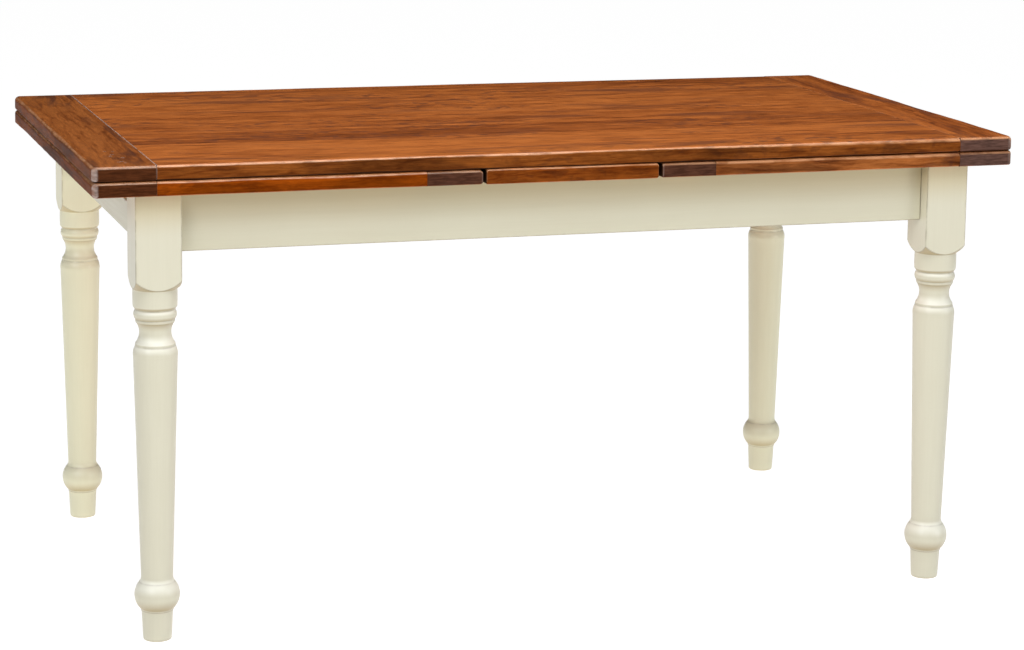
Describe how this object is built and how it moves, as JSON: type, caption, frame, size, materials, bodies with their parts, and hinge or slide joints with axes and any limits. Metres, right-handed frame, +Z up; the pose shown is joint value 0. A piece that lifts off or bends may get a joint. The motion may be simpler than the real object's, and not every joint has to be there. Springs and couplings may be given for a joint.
{
  "type": "extendable dining table",
  "caption": "Draw-leaf extending dining table: a loose breadboard-ended wood top over two sliding leaves, on a cream-painted frame with turned legs.",
  "frame": {"origin": "on the floor, under the middle of the table", "axes": "+X along the table's length, +Y to its back, +Z up"},
  "size_m": [1.6, 0.9, 0.8],
  "materials": {
    "stained_wood": "warm reddish-brown stain, satin wax",
    "dark_wood": "darker reddish-brown stain, satin wax",
    "cream_paint": "cream paint, eggshell, with thin brown glaze in the joints",
    "plain_wood": "bare planed wood",
    "zinc_steel": "zinc plated"
  },
  "bodies": {
    "frame": {"leg_front_left": "cream_paint", "leg_front_right": "cream_paint", "leg_back_left": "cream_paint", "leg_back_right": "cream_paint", "corner_block_front_left": "plain_wood", "hanger_bolt_front_left": "zinc_steel", "corner_block_front_right": "plain_wood", "hanger_bolt_front_right": "zinc_steel", "corner_block_back_left": "plain_wood", "hanger_bolt_back_left": "zinc_steel", "corner_block_back_right": "plain_wood", "hanger_bolt_back_right": "zinc_steel", "apron_front": "cream_paint", "apron_back": "cream_paint", "apron_left": "cream_paint", "apron_right": "cream_paint", "cross_rail_left": "plain_wood", "cross_rail_right": "plain_wood", "centre_board": "stained_wood", "centre_screw_front_left": "zinc_steel", "centre_screw_front_right": "zinc_steel", "centre_screw_back_left": "zinc_steel", "centre_screw_back_right": "zinc_steel"},
    "left_leaf": {"left_leaf_panel": "stained_wood", "left_leaf_outer_breadboard": "dark_wood", "left_leaf_inner_breadboard": "dark_wood", "left_leaf_bearer_front": "plain_wood", "left_leaf_stop_front": "plain_wood", "left_leaf_screw_front_1": "zinc_steel", "left_leaf_screw_front_2": "zinc_steel", "left_leaf_bearer_back": "plain_wood", "left_leaf_stop_back": "plain_wood", "left_leaf_screw_back_1": "zinc_steel", "left_leaf_screw_back_2": "zinc_steel"},
    "right_leaf": {"right_leaf_panel": "stained_wood", "right_leaf_outer_breadboard": "dark_wood", "right_leaf_inner_breadboard": "dark_wood", "right_leaf_bearer_front": "plain_wood", "right_leaf_stop_front": "plain_wood", "right_leaf_screw_front_1": "zinc_steel", "right_leaf_screw_front_2": "zinc_steel", "right_leaf_bearer_back": "plain_wood", "right_leaf_stop_back": "plain_wood", "right_leaf_screw_back_1": "zinc_steel", "right_leaf_screw_back_2": "zinc_steel"},
    "top": {"top_panel": "stained_wood", "top_breadboard_left": "dark_wood", "top_breadboard_right": "dark_wood", "guide_peg_front": "plain_wood", "guide_peg_back": "plain_wood"}
  },
  "joints": [
    {"name": "left_leaf_draw", "type": "slide", "parent": "frame", "child": "left_leaf", "axis": [-1, 0, 0], "range_m": [0, 0.644]},
    {"name": "right_leaf_draw", "type": "slide", "parent": "frame", "child": "right_leaf", "axis": [1, 0, 0], "range_m": [0, 0.644]},
    {"name": "top_drop", "type": "slide", "parent": "frame", "child": "top", "axis": [0, 0, -1], "range_m": [-0.028, 0]}
  ]
}
